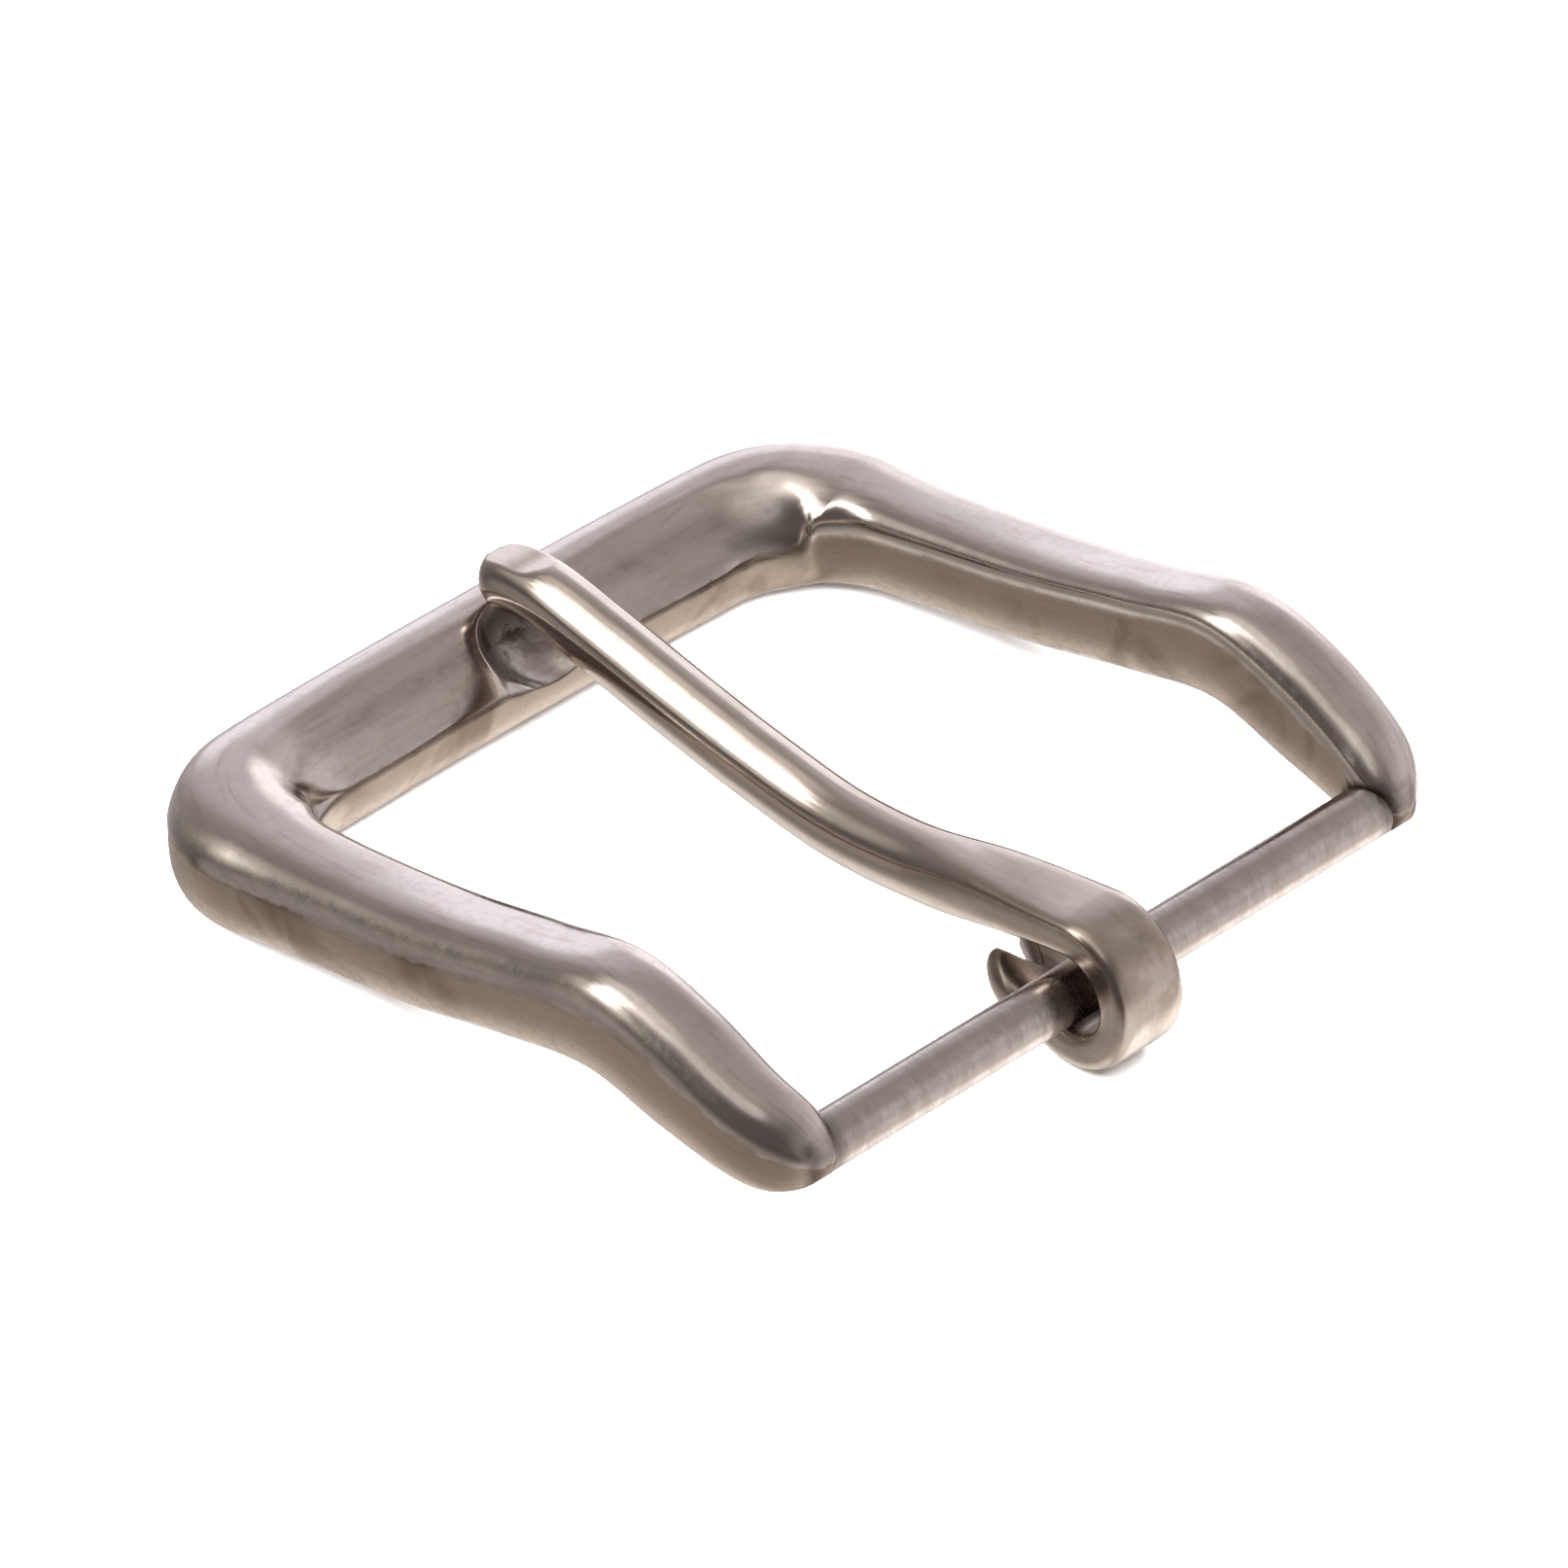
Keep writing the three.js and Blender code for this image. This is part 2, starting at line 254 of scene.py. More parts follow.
def webAt(cfg, s):  # how far the opening's rounded corner stands inside the casting's own inner wall
    inner = cfg["cornerRadius"] - cfg["frontHalf"]
    reach = cfg["webRadius"] - inner
    fromDiagonal = abs(s - armLength - cornerLength / 2)
    straight = fromDiagonal - cornerLength / 2
    if straight > 0:
        return cfg["webRadius"] - sqrt(cfg["webRadius"] ** 2 - max(0.0, reach - straight) ** 2)
    turn = fromDiagonal / cfg["cornerRadius"]
    return inner + sqrt(2) * reach * cos(turn) - sqrt(cfg["webRadius"] ** 2 - 2 * (reach * sin(turn)) ** 2)


def castingOutline(cfg, s):  # out, up, and height over the wall, round the section from its foot and back
    values = [smoothCurve(castingStations, column, s) for column in range(1, 10)]
    floor, width, height, share, crest, shift, lean, outerDome, innerDome = values
    floor = max(floor, castingTable)
    web = webAt(cfg, s)
    narrow, low = roundedEnd(s, cfg["noseWidth"]), roundedEnd(s, cfg["noseHeight"])
    points = []
    for i in range(361):
        angle = radians(i - 90)
        c, up = cos(angle), sin(angle)
        if up < 0:
            power = 2 / cfg["base"]
        else:
            power = 2 / (outerDome if c >= 0 else innerDome)
        across, rise = signedPower(c, power), abs(up) ** power
        wall = share * height + lean * across
        u = (width / 2 + (web if c < 0 else 0)) * across
        if up < 0:
            v = max(0.0, wall - (wall + cfg["baseCut"]) * rise)
        else:
            u += crest * rise
            v = wall + (height - wall) * rise
        overWall = v - wall
        v = height / 2 + (v - height / 2) * low
        points.append((u * narrow + shift, floor + v, overWall, v))
    return evenly(points, cfg["outline"])


def castingWearAndLight(cfg, s, u, overWall, up, point, scoop):  # polish with painted wall shade, grime with painted shade, edge wear with painted highlights, and smoothed or not
    inside = ease(0.5, -0.5, u)
    front = ease(armLength + 0.4 * cornerLength, armLength + cornerLength, s)
    # tops and foot rounding polished, side walls duller and darker: partly wear, partly painted shade
    polish_and_shade = max(ease(-0.4, 0.5, overWall), 0.8 * ease(0.9, 0.3, up))
    fromPocket = sqrt((s - armLength - 0.9 * cornerLength) ** 2 + (2 * overWall - 0.4) ** 2)
    fromBar = sqrt(point.y**2 + point.z**2)
    grime_and_shade = max(
        # painted shade along the crease at the inner wall's top
        cfg["creaseShade"] * hump(overWall, *cfg["creaseBand"]) * inside * blend(0.25, 1, front),
        # darker round the pockets in the opening's front corners
        cfg["pocketDark"] * hump(fromPocket, 0, cfg["pocketReach"]) * inside,
        # painted shade in the gap where the heel bar enters the arms
        cfg["seamShade"] * ease(cfg["seamReach"], 1.5, fromBar) * inside,
        # painted shade in the notch under the tongue's tip
        cfg["notchShade"] * scoop * ease(-3.2, 1.0, point.z),
        # a darker band along the front bar's inner slope
        cfg["slopeDark"] * hump(overWall, *cfg["slopeDarkBand"]) * front * inside,
    )
    arris = hump(overWall, *cfg["edgeBand"]) * ease(1.2, 2.0, abs(u)) * (1 - front) * ease(2, 6, s)
    nearCorner = hump(s, armLength + 0.55 * cornerLength, cfg["cornerReach"])
    shoulder = hump(u, 0.9 * front - 2.3, 0.9) * nearCorner * ease(0.3, 1.2, overWall)
    slope = hump(overWall, *cfg["slopeHighlightBand"]) * front * inside * (1 - scoop)
    wearAndSheen = max(
        arris * blend(1, cfg["insideShine"], inside),
        # painted highlight on the inner shoulder near the corners
        cfg["shoulderHighlight"] * shoulder,
        # painted highlight along the front bar's inner slope
        cfg["slopeHighlight"] * slope,
    )
    return polish_and_shade, min(1.0, grime_and_shade), wearAndSheen, fromPocket < cfg["softReach"] and u < 0


def castingStops(cfg):
    stops, s = [cfg["noseHeight"] * (1 - cos(pi / 2 * i / 12)) for i in range(12)], cfg["noseHeight"]
    while s < halfLength - cfg["fineWithin"]:
        stops.append(s)
        s += cfg["ringStep"]
    while s < halfLength - 0.01:
        stops.append(s)
        s += cfg["fineStep"]
    return stops + [halfLength] + [2 * halfLength - stop for stop in reversed(stops)]


notch = {
    "balls": [(1.1, 39.9, 2.75, 4.6), (-1.0, 39.1, 0.75, 2.45)],  # x, y, z and radius, mm from the bar's axis
    "soft": 0.1,
}


def scooped(cfg, point):  # pushes a point out of the notch's balls, and says how far
    moved = 0.0
    for x, y, z, radius in cfg["balls"]:
        away = point - Vector((x, y, z))
        gap = away.length - radius
        if gap < 4 * cfg["soft"]:
            push = (sqrt(gap * gap + 4 * cfg["soft"] ** 2) - gap) / 2
            point = Vector((x, y, z)) + away.normalized() * (away.length + push)
            moved += push
    return point, min(1.0, moved)


def makeCasting(cfg):
    rings, wearAndLight = [], []
    for along in castingStops(cfg):
        s = min(along, 2 * halfLength - along)
        middle, heading = castingPlan(cfg, along)
        out = Vector((-heading.y, heading.x, 0))
        ring, marks = [], []
        for u, z, overWall, up in castingOutline(cfg, s):
            point, scoop = scooped(notch, middle + out * u + Vector((0, 0, z)))
            ring.append(point)
            marks.append(castingWearAndLight(cfg, s, u, overWall, up, point, scoop))
        rings.append(ring)
        wearAndLight.append(marks)
    return skin("frame_casting", rings, wearAndLight, "frame", "frame", cfg["softening"])


rod = {
    "segments": 64, "cuts": 90, "endBevel": 0.25, "polish_and_shade": 0.45,
    # painted shade on the bar where it enters the arms and inside the tongue's loop
    "seamShade": 0.5, "seamFrom": 0.9, "loopShade": 0.25, "loopShadeReach": 0.9,
}


def makeRod(cfg):
    radius, length = (barHigh.z - barLow.z) / 2, barHigh.x - barLow.x
    bm = bmesh.new()
    bmesh.ops.create_cone(
        bm, cap_ends=True, segments=cfg["segments"], radius1=radius, radius2=radius, depth=length,
        matrix=Matrix.Translation(barAxis) @ Matrix.Rotation(pi / 2, 4, "Y"),
    )
    rims = [e for e in bm.edges if abs(e.verts[0].co.x - e.verts[1].co.x) < 1e-6]
    bmesh.ops.bevel(
        bm, geom=rims, offset=cfg["endBevel"] * mm, offset_type="OFFSET", segments=3, profile=0.5,
        affect="EDGES", material=-1,
    )
    long = [e for e in bm.edges if e.calc_length() > length / 2]
    bmesh.ops.subdivide_edges(bm, edges=long, cuts=cfg["cuts"], use_grid_fill=True)
    polishAndShade = bm.verts.layers.float.new("polish_and_shade")
    dirtAndShade = bm.verts.layers.float.new("grime_and_shade")
    armFace, loopFace = casting["clearWidth"] / 2, prong["loopWidth"] / 2
    for v in bm.verts:
        x = (v.co.x - barAxis.x) / mm
        # painted shade where the bar enters the arms
        seam = cfg["seamShade"] * ease(armFace - cfg["seamFrom"], armFace - 0.1, abs(x))
        # painted shade on the bar inside the tongue's loop
        underLoop = cfg["loopShade"] * ease(loopFace + cfg["loopShadeReach"], loopFace, abs(x - prong["rootX"]))
        v[polishAndShade], v[dirtAndShade] = cfg["polish_and_shade"], max(seam, underLoop)
    for face in bm.faces:
        face.smooth = len(face.verts) < 8
    return finishPiece(bm, "heel_rod", "frame", "heel_bar")


prong = {
    "loopOuter": 4.3, "loopThick": 2.1, "loopWidth": 4.6, "loopBack": 0.3, "loopRise": 0.25,
    "tailAngle": -72, "tailLength": 5.8, "tailThick": 1.8, "loopLeave": 82,
    "shank": [  # y and z of the shank's middle
        (6, 2.36), (12, 0.98), (18, 0.42), (24, 0.93), (30, 1.8),
        (36, 2.85), (40, 3.5), (42.5, 3.45), (44.8, 2.85),
    ],
    "shankRadius": 1.98, "tipRadius": 1.87, "rootX": -0.5, "tipX": 0.9, "tipY": 44,
    "strapPower": 5.5, "flatRun": 13, "tipRun": 14, "tipRound": 1.75, "tailRound": 0.8,
    "facet": 1.42, "facetFrom": 4.6, "facetFull": 3.4,  # height over the middle line, and mm from the tip
    "splitDepth": 2.1, "lobe": 1.0, "lobeSweep": 0.8, "flare": 0.3, "tailPinch": 0.35,
    # painted shade in the loop's hollow round the bar and on the tail's underside
    "hollowShade": 0.3, "tailUnderShade": 0.5, "shankPolish": 0.85, "strapPolish": 0.55,
    "ringStep": 0.4, "outline": 57,
}


def prongLine(cfg):  # the middle line as (y, z), closely spaced
    mid = cfg["loopOuter"] - cfg["loopThick"] / 2
    centre = Vector((-cfg["loopBack"], cfg["loopRise"]))

    def onLoop(angle):
        return centre + mid * Vector((cos(radians(angle)), sin(radians(angle))))

    slope = radians(cfg["tailAngle"] + 90)
    root = onLoop(cfg["tailAngle"])
    line = [root + Vector((cos(slope), sin(slope))) * cfg["tailLength"] * (1 - i / 12) for i in range(12)]
    turn = 360 + cfg["tailAngle"] - cfg["loopLeave"]
    line += [onLoop(cfg["tailAngle"] - turn * i / 60) for i in range(61)]
    last = line[-1]
    knots = [last, last] + [Vector(point) for point in cfg["shank"]]
    knots[0] = last - (last - line[-2]).normalized() * (knots[2] - last).length
    knots.append(knots[-1] + (knots[-1] - knots[-2]))
    for k in range(1, len(knots) - 2):  # a Catmull-Rom run through the shank's points
        p0, p1, p2, p3 = knots[k - 1:k + 3]
        for i in range(1, 25):
            t = i / 24
            bend, twist = 2 * p0 - 5 * p1 + 4 * p2 - p3, 3 * p1 - p0 - 3 * p2 + p3
            line.append(0.5 * (2 * p1 + (p2 - p0) * t + bend * t**2 + twist * t**3))
    return line, cfg["tailLength"] + mid * radians(turn)


def makeProng(cfg):
    line, loopEnd = prongLine(cfg)
    lengths = [0.0]
    for a, b in zip(line, line[1:]):
        lengths.append(lengths[-1] + (b - a).length)
    total = lengths[-1]

    def onLine(s):  # the place a length along the middle line
        k = max(0, min(len(line) - 2, next((i for i, l in enumerate(lengths) if l > s), len(line)) - 1))
        return line[k] + (line[k + 1] - line[k]).normalized() * (s - lengths[k])

    def heading(s):
        span = 0.35
        return (onLine(min(total, s + span)) - onLine(max(0, s - span))).normalized()

    stops = [cfg["tailRound"] * (1 - cos(pi / 2 * i / 8)) for i in range(8)]
    run = total - cfg["tailRound"] - cfg["tipRound"]
    steps = round(run / cfg["ringStep"])
    stops += [cfg["tailRound"] + run * i / steps for i in range(steps + 1)]
    stops += [total - cfg["tipRound"] * (1 - cos(pi / 2 * i / 10)) for i in range(9, -1, -1)]
    rings, wearAndLight = [], []
    for s in stops:
        flat = 1 - ease(loopEnd, loopEnd + cfg["flatRun"], s)
        radius = blend(cfg["shankRadius"], cfg["tipRadius"], ease(total - cfg["tipRun"], total, s))
        strap = blend(cfg["tailThick"], cfg["loopThick"], min(1, s / cfg["tailLength"])) / 2
        end = roundedEnd(total - s, cfg["tipRound"])
        tail = roundedEnd(s, cfg["tailRound"])
        thick = blend(radius, strap, flat) * end * tail
        wide = blend(radius, cfg["loopWidth"] / 2, flat) * end
        wide += cfg["flare"] * (1 - ease(0, cfg["tailLength"], s)) - cfg["tailPinch"] * (1 - tail)
        power = 2 / blend(2, cfg["strapPower"], flat)
        outline = []
        for i in range(361):
            angle = radians(i - 90)
            outline.append((wide * signedPower(cos(angle), power), thick * signedPower(sin(angle), power)))
        ring, marks = [], []
        near = 1 - ease(0.2 * cfg["tailLength"], 0.95 * cfg["tailLength"], s)
        facet = blend(radius, cfg["facet"], ease(total - cfg["facetFrom"], total - cfg["facetFull"], s))
        for u, v in evenly(outline, cfg["outline"]):
            v = min(v, facet)
            split = max(0.0, 1 - abs(u) / cfg["lobe"])
            corner = max(0.0, abs(u) / cfg["lobe"] - 1)
            pull = (cfg["splitDepth"] * split**0.8 + cfg["lobeSweep"] * corner**2) * near
            at = min(total, s + pull)
            ahead = heading(at)
            place = onLine(at) + Vector((-ahead.y, ahead.x)) * v
            x = cfg["rootX"] + (cfg["tipX"] - cfg["rootX"]) * place.x / cfg["tipY"] + u
            ring.append(Vector((x, place.x, place.y)))
            fromBar = sqrt(place.x**2 + place.y**2)
            # painted shade in the loop's hollow, as darker colour and less polish
            hollow = ease(2.9, 2.1, fromBar)
            # painted shade on the tail's underside
            under = cfg["tailUnderShade"] * near * ease(0.3, -0.6, v)
            polish_and_shade = blend(cfg["shankPolish"], cfg["strapPolish"], flat) * (1 - 0.4 * hollow)
            marks.append((polish_and_shade, max(cfg["hollowShade"] * hollow, under), 0.0, False))
        rings.append(ring)
        wearAndLight.append(marks)
    return skin("tongue_forging", rings, wearAndLight, "tongue", "tongue")


frameCasting = makeCasting(casting)
print("casting lofted")
heelRod = makeRod(rod)
print("heel rod turned")
tongueForging = makeProng(prong)
print("tongue lofted")


def addNode(tree, kind, settings=None, **links):  # a shader node, its properties, and what feeds its sockets
    node = tree.nodes.new(kind)
    for name, value in (settings or {}).items():
        setattr(node, name, value)
    for name, value in links.items():
        socket = node.inputs[int(name[1:]) if name[1:].isdigit() else name.replace("_", " ")]
        if isinstance(value, bpy.types.NodeSocket):
            tree.links.new(value, socket)
        else:
            socket.default_value = value
    return node


def noise(tree, place, scale, detail, rough=0.6, distortion=0.0):
    settings = {"Scale": scale, "Detail": detail, "Roughness": rough, "Distortion": distortion}
    return addNode(tree, "ShaderNodeTexNoise", Vector=place, **settings).outputs["Fac"]


def remap(tree, value, low, high, toLow=0.0, toHigh=1.0):
    limits = {"From_Min": low, "From_Max": high, "To_Min": toLow, "To_Max": toHigh}
    node = addNode(tree, "ShaderNodeMapRange", {"interpolation_type": "SMOOTHSTEP"}, Value=value, **limits)
    return node.outputs["Result"]


def sums(tree, operation, a, b):
    return addNode(tree, "ShaderNodeMath", {"operation": operation, "use_clamp": True}, s0=a, s1=b).outputs[0]


def tint(tree, share, low, high):
    node = addNode(tree, "ShaderNodeMix", {"data_type": "RGBA"})
    for place, value in ((0, share), (6, low), (7, high)):
        if isinstance(value, bpy.types.NodeSocket):
            tree.links.new(value, node.inputs[place])
        else:
            node.inputs[place].default_value = value
    return node.outputs[2]


finishes = {  # colours are linear; scales are per metre, depths in mm
    # the grime colour paints shade as well as dirt; the edge colour paints highlights as well as edge wear
    "cast_nickel": {
        "polished": (0.66, 0.595, 0.57, 1), "cloudy": (0.45, 0.375, 0.315, 1),
        "stain": (0.27, 0.205, 0.16, 1), "grime_and_shade": (0.07, 0.05, 0.037, 1), "edge": (0.9, 0.82, 0.71, 1),
        "speckle": 0.15, "streaks": 0.3, "polishedRough": 0.12, "cloudyRough": 0.27,
        "cloud": 420, "cloudStretch": (1, 1, 1.4), "stainFrom": 0.48,
        "waveDepth": 0.02, "grainDepth": 0.0004, "grain": 5200, "pits": 330, "pitShare": 0.03,
    },
    "drawn_steel": {
        "polished": (0.6, 0.545, 0.53, 1), "cloudy": (0.5, 0.445, 0.42, 1),
        "stain": (0.36, 0.305, 0.27, 1), "grime_and_shade": (0.07, 0.05, 0.04, 1), "edge": (0.6, 0.55, 0.5, 1),
        "speckle": 0.3, "streaks": 0, "polishedRough": 0.14, "cloudyRough": 0.22,
        "cloud": 450, "cloudStretch": (2.5, 1, 1), "stainFrom": 0.6,
        "waveDepth": 0.006, "grainDepth": 0.001, "grain": 4200, "pits": 420, "pitShare": 0.08,
    },
    "forged_nickel": {
        "polished": (0.6, 0.53, 0.485, 1), "cloudy": (0.45, 0.38, 0.33, 1),
        "stain": (0.32, 0.255, 0.205, 1), "grime_and_shade": (0.07, 0.05, 0.037, 1), "edge": (0.9, 0.82, 0.71, 1),
        "speckle": 0.12, "streaks": 0.3, "polishedRough": 0.1, "cloudyRough": 0.2,
        "cloud": 340, "cloudStretch": (1, 0.5, 1), "stainFrom": 0.6,
        "waveDepth": 0.012, "grainDepth": 0.0006, "grain": 5200, "pits": 260, "pitShare": 0.04,
    },
}


wornMetal = {  # shared by the three finishes
    "edgeShare": 0.75, "mottle": 950, "pitDepth": 0.05,
    "speckRough": 0.08, "edgeRough": 0.14, "grimeAndShadeRough": 0.3,  # added to the roughness
}


def makeMetal(name):
    cfg = finishes[name]
    material = bpy.data.materials.new(name)
    material.use_nodes = True
    tree = material.node_tree
    shader = tree.nodes["Principled BSDF"]
    place = addNode(tree, "ShaderNodeTexCoord").outputs["Object"]
    stretched = addNode(tree, "ShaderNodeMapping", Vector=place, Scale=cfg["cloudStretch"]).outputs[0]
    polishAndShade = addNode(tree, "ShaderNodeAttribute", {"attribute_name": "polish_and_shade"}).outputs["Fac"]
    dirtAndShade = addNode(tree, "ShaderNodeAttribute", {"attribute_name": "grime_and_shade"}).outputs["Fac"]
    edge = addNode(tree, "ShaderNodeAttribute", {"attribute_name": "edge"}).outputs["Fac"]
    cloud = noise(tree, stretched, cfg["cloud"], 4, 0.62, 0.4)
    patch = noise(tree, place, cfg["cloud"] * 0.33, 3, 0.55, 0.8)
    speck = noise(tree, stretched, cfg["cloud"] * 5, 3, 0.7)
    grain = noise(tree, place, cfg["grain"], 2, 0.7)
    spots = addNode(tree, "ShaderNodeTexVoronoi", Vector=place, Scale=cfg["pits"])
    few = addNode(tree, "ShaderNodeSeparateColor", Color=spots.outputs["Color"]).outputs[0]
    pits = sums(
        tree, "MULTIPLY", remap(tree, spots.outputs["Distance"], 0.1, 0.04),
        remap(tree, few, cfg["pitShare"], cfg["pitShare"] * 0.8),
    )

    wornAndShaded = sums(tree, "ADD", polishAndShade, remap(tree, cloud, 0.3, 0.7, -0.28, 0.28))  # polish, with painted shade on the side walls, broken by clouds
    wornAndShaded = remap(tree, wornAndShaded, 0.22, 0.8)
    color = tint(tree, wornAndShaded, cfg["cloudy"], cfg["polished"])
    stained = remap(tree, patch, cfg["stainFrom"], cfg["stainFrom"] + 0.2)
    stains = sums(tree, "MULTIPLY", stained, remap(tree, wornAndShaded, 1, 0.2, 0.15, 1))
    color = tint(tree, stains, color, cfg["stain"])
    color = tint(tree, remap(tree, speck, 0.4, 0.75, 0, cfg["speckle"]), color, cfg["stain"])
    if cfg["streaks"]:  # patina drawn out along the piece, by its own map
        along = addNode(tree, "ShaderNodeUVMap", {"uv_map": "along"}).outputs["UV"]
        drawn = addNode(tree, "ShaderNodeMapping", Vector=along, Scale=(0.22, 2.2, 1)).outputs[0]
        streak = noise(tree, drawn, 1, 4, 0.62)
        color = tint(tree, remap(tree, streak, 0.5, 0.72, 0, cfg["streaks"]), color, cfg["stain"])
    mottle = remap(tree, noise(tree, place, wornMetal["mottle"], 2, 0.55), 0.25, 0.7)
    wearAndSheen = tint(tree, mottle, cfg["polished"], cfg["edge"])
    # edge wear on the arms' arris, painted highlights on the shoulders and the front bar's slope
    color = tint(tree, sums(tree, "MULTIPLY", edge, wornMetal["edgeShare"]), color, wearAndSheen)
    # darkening from the grime layer: mostly painted shade, with real pits
    dirtAndShadeMask = sums(tree, "ADD", dirtAndShade, sums(tree, "MULTIPLY", dirtAndShade, remap(tree, cloud, 0.3, 0.7, -0.5, 0.5)))
    dirtAndShadeMask = sums(tree, "MAXIMUM", remap(tree, dirtAndShadeMask, 0.05, 0.95), pits)
    color = tint(tree, dirtAndShadeMask, color, cfg["grime_and_shade"])
    tree.links.new(color, shader.inputs["Base Color"])

    rough = remap(tree, wornAndShaded, 0, 1, cfg["cloudyRough"], cfg["polishedRough"])
    rough = sums(tree, "ADD", rough, remap(tree, speck, 0.4, 0.7, 0, wornMetal["speckRough"]))
    rough = sums(tree, "ADD", rough, remap(tree, edge, 0, 1, 0, wornMetal["edgeRough"]))
    rough = sums(tree, "ADD", rough, remap(tree, dirtAndShadeMask, 0, 1, 0, wornMetal["grimeAndShadeRough"]))
    tree.links.new(rough, shader.inputs["Roughness"])
    shader.inputs["Metallic"].default_value = 1

    swell = noise(tree, place, cfg["cloud"] * 0.5, 0.5, 0.4)
    waves = addNode(tree, "ShaderNodeBump", Strength=1, Distance=cfg["waveDepth"] * mm, Height=swell)
    fine = addNode(
        tree, "ShaderNodeBump", Strength=1, Distance=cfg["grainDepth"] * mm, Height=grain,
        Normal=waves.outputs[0],
    )
    holes = addNode(
        tree, "ShaderNodeBump", {"invert": True}, Strength=1, Distance=wornMetal["pitDepth"] * mm,
        Height=pits, Normal=fine.outputs[0],
    )
    tree.links.new(holes.outputs[0], shader.inputs["Normal"])
    return material


frameCasting.data.materials.append(makeMetal("cast_nickel"))
heelRod.data.materials.append(makeMetal("drawn_steel"))
tongueForging.data.materials.append(makeMetal("forged_nickel"))
print("metals mixed")


studio = {
    "ambient": (0.125, 0.112, 0.104),
    "glows": [  # heading and height in degrees (0 is +X, 90 is +Y), spread in degrees, strength, colour
        ("room", 30, 20, 115, 0.25, (1.05, 0.98, 0.94)),
        ("ceiling", 0, 90, 45, 0.18, (1.06, 0.98, 0.91)),
        ("ceilingFar", 85, 76, 24, 0.5, (1.02, 1, 0.96)),
        ("ceilingNear", -105, 74, 20, 0.35, (1.01, 1, 0.97)),
        ("ceilingLeft", 140, 72, 18, 0.4, (1.02, 1, 0.95)),
        ("farWall", 42, 12, 46, 0.38, (0.955, 0.965, 1.08)),
        ("farWindow", 54, 10, 18, 0.55, (0.95, 0.965, 1.09)),
        ("farDoor", 34, -8, 20, 0.85, (1.0, 0.98, 1.0)),
        ("farDoorTop", 29, 18, 17, 0.75, (1.0, 0.98, 1.0)),
        ("farDoorFoot", 38, -28, 16, 0.5, (1.03, 0.98, 0.95)),
        ("rightWall", -20, 10, 50, 0.4, (1.01, 0.98, 1.0)),
        ("nearRight", -70, 0, 48, 0.3, (1.03, 0.98, 0.95)),
        ("keyCrown", 118, 68, 12, 0.9, (1.02, 1, 0.95)),
        ("keyTop", 132, 58, 12, 2.2, (1.02, 1, 0.95)),
        ("keyMiddle", 141, 46, 11, 3.0, (1.02, 1, 0.97)),
        ("keyLow", 147, 33, 10, 2.4, (1.02, 1, 0.97)),
        ("keyFoot", 150, 21, 9, 0.7, (1.02, 1, 0.97)),
        ("keyFloor", 145, -8, 20, 0.22, (1.05, 0.98, 0.92)),
        ("keyHalo", 136, 40, 26, 0.38, (1.05, 1, 0.9)),
        ("table", 60, -90, 84, 0.52, (1.07, 0.99, 0.92)),
        ("tableBright", -8, -42, 28, 1.0, (1.03, 1, 0.97)),
        ("tableNear", -75, -42, 50, 0.5, (1.04, 0.99, 0.95)),
        ("tableFar", 110, -62, 30, 0.5, (1.02, 1, 0.97)),
    ],
    "backdrop": (1.0, 1.0, 1.0), "paper": (0.93, 0.93, 0.935),
    "softboxes": [  # place from the bar in mm, size in mm, watts
        ((0, 20, 1100), 2400, 130),
        ((-900, 900, 900), 1400, 60),
    ],
}


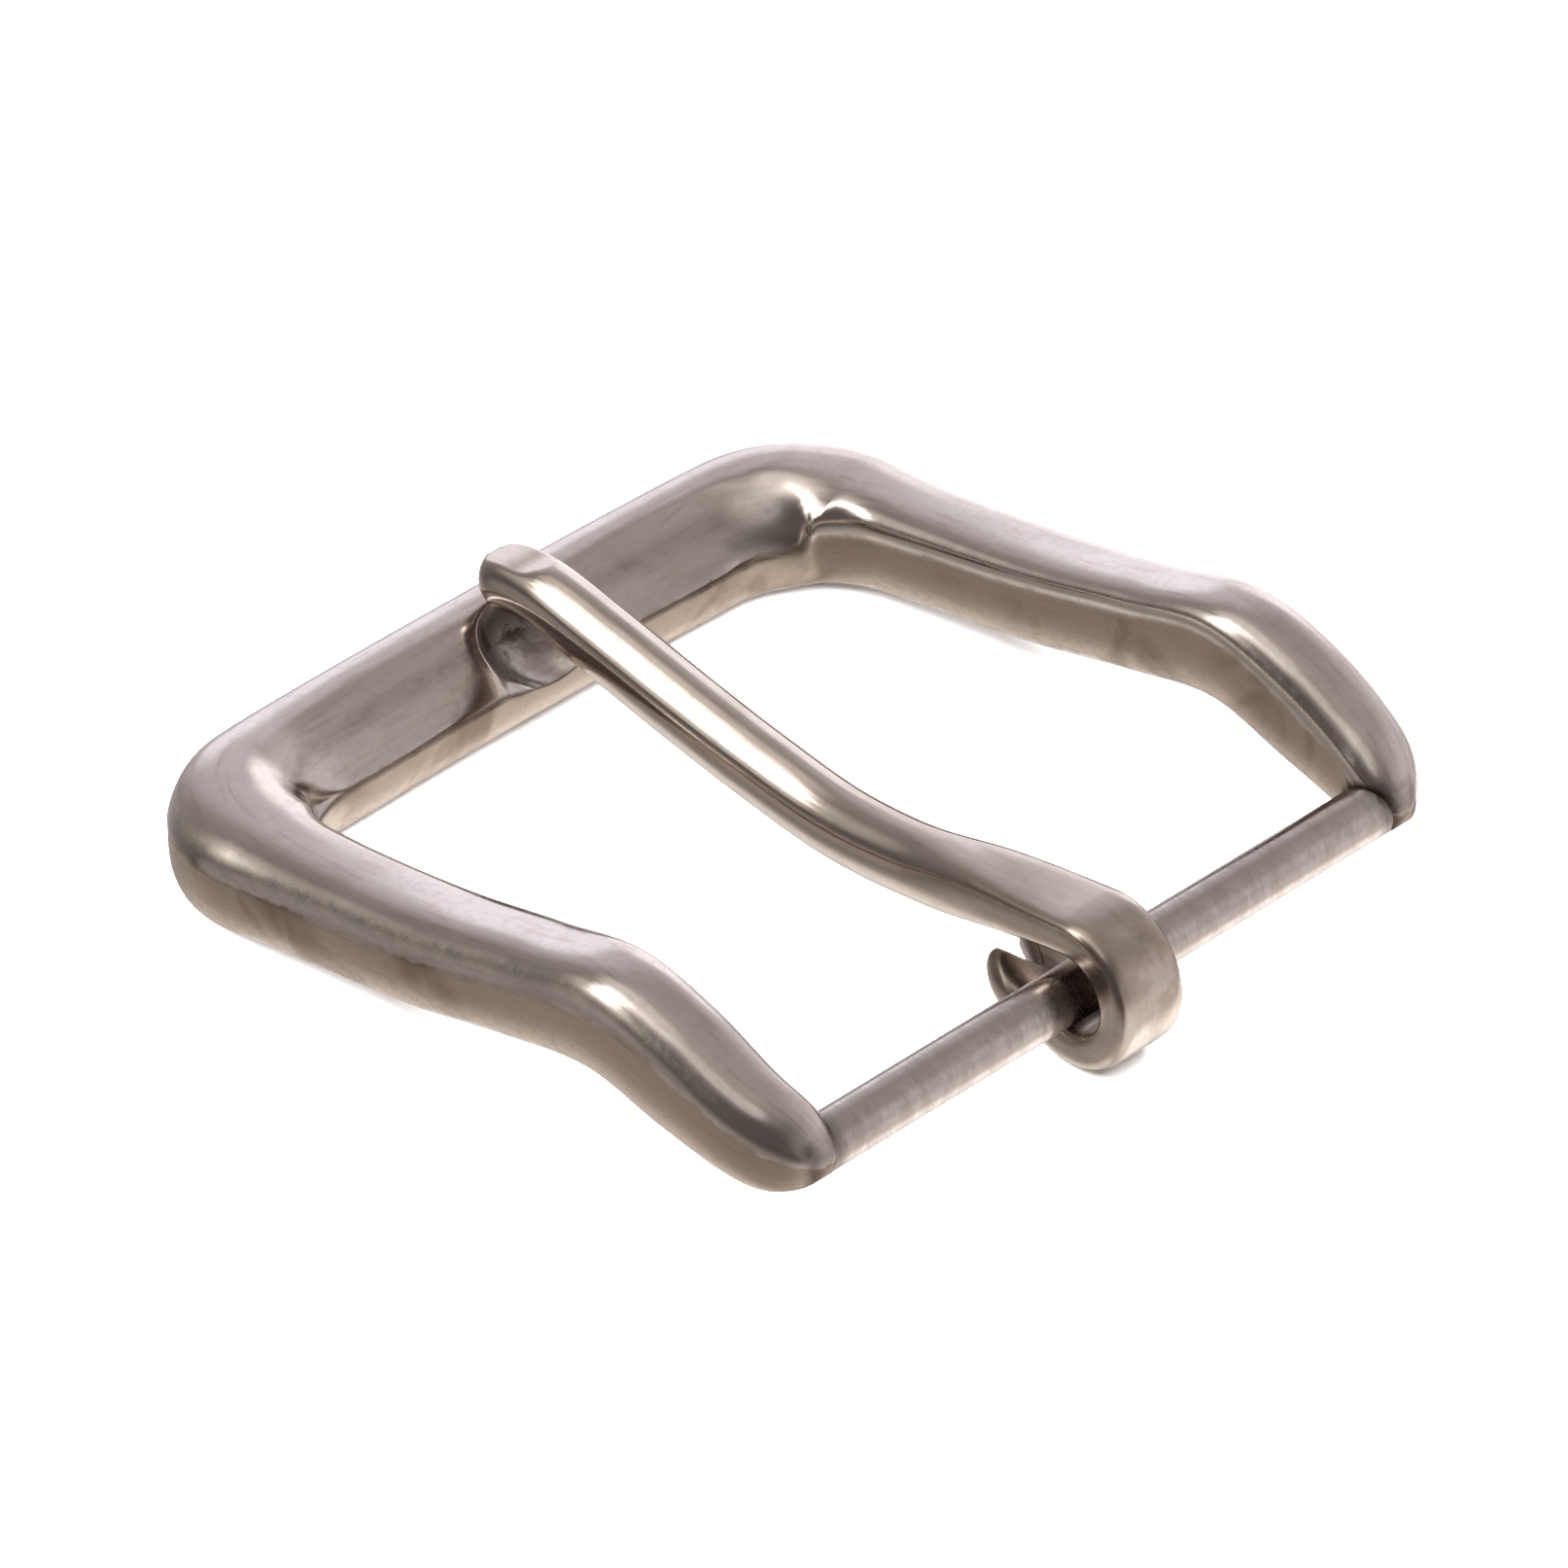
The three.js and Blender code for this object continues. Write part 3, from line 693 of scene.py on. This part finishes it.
def makeWorld(cfg):
    world = bpy.data.worlds.new("studio")
    bpy.context.scene.world = world
    world.use_nodes = True
    tree = world.node_tree
    heading = addNode(tree, "ShaderNodeTexCoord").outputs["Generated"]
    light = tree.nodes["Background"]
    total = (*cfg["ambient"], 1)
    for name, azimuth, height, spread, strength, color in cfg["glows"]:
        a, e = radians(azimuth), radians(height)
        towards = (cos(e) * cos(a), cos(e) * sin(a), sin(e))
        facing = addNode(tree, "ShaderNodeVectorMath", {"operation": "DOT_PRODUCT"}, s0=heading, s1=towards)
        glow = remap(tree, facing.outputs["Value"], cos(radians(spread)), 1)
        labelled = {"operation": "MULTIPLY", "label": name}
        amount = addNode(tree, "ShaderNodeMath", labelled, s0=glow, s1=strength)
        lit = addNode(tree, "ShaderNodeVectorMath", {"operation": "SCALE"}, s0=color, Scale=amount.outputs[0])
        added = addNode(tree, "ShaderNodeVectorMath", {"operation": "ADD"}, s0=lit.outputs[0])
        if isinstance(total, tuple):
            added.inputs[1].default_value = total[:3]
        else:
            tree.links.new(total, added.inputs[1])
        total = added.outputs[0]
    tree.links.new(total, light.inputs["Color"])
    pale = addNode(tree, "ShaderNodeBackground", Color=(*cfg["backdrop"], 1))
    seen = addNode(tree, "ShaderNodeLightPath").outputs["Is Camera Ray"]
    both = addNode(tree, "ShaderNodeMixShader", s0=seen, s1=light.outputs[0], s2=pale.outputs[0])
    tree.links.new(both.outputs[0], tree.nodes["World Output"].inputs["Surface"])


def makeFloor(cfg):
    bm = bmesh.new()
    bmesh.ops.create_grid(bm, x_segments=1, y_segments=1, size=10)
    mesh = bpy.data.meshes.new("floor")
    bm.to_mesh(mesh)
    bm.free()
    floor = bpy.data.objects.new("floor", mesh)
    bpy.context.scene.collection.objects.link(floor)
    material = bpy.data.materials.new("floor_paper")
    material.use_nodes = True
    shader = material.node_tree.nodes["Principled BSDF"]
    shader.inputs["Base Color"].default_value = (*cfg["paper"], 1)
    shader.inputs["Roughness"].default_value = 1
    shader.inputs["Specular IOR Level"].default_value = 0
    mesh.materials.append(material)
    floor.visible_glossy = floor.visible_shadow = False  # the metal mirrors the studio's table glow instead


def makeSoftboxes(cfg):  # they whiten the paper and soften the shadow under the buckle
    for i, (place, size, watts) in enumerate(cfg["softboxes"]):
        data = bpy.data.lights.new("softbox" + str(i), "AREA")
        data.shape, data.size, data.energy = "DISK", size * mm, watts
        lamp = bpy.data.objects.new("softbox" + str(i), data)
        lamp.location = Vector(place) * mm + barAxis
        lamp.rotation_euler = (barAxis - lamp.location).to_track_quat("-Z", "Y").to_euler()
        lamp.visible_glossy = False
        lamp.visible_camera = False
        bpy.context.scene.collection.objects.link(lamp)


makeWorld(studio)
makeFloor(studio)
makeSoftboxes(studio)
bpy.context.scene.view_settings.view_transform = "Standard"
print("studio lit")
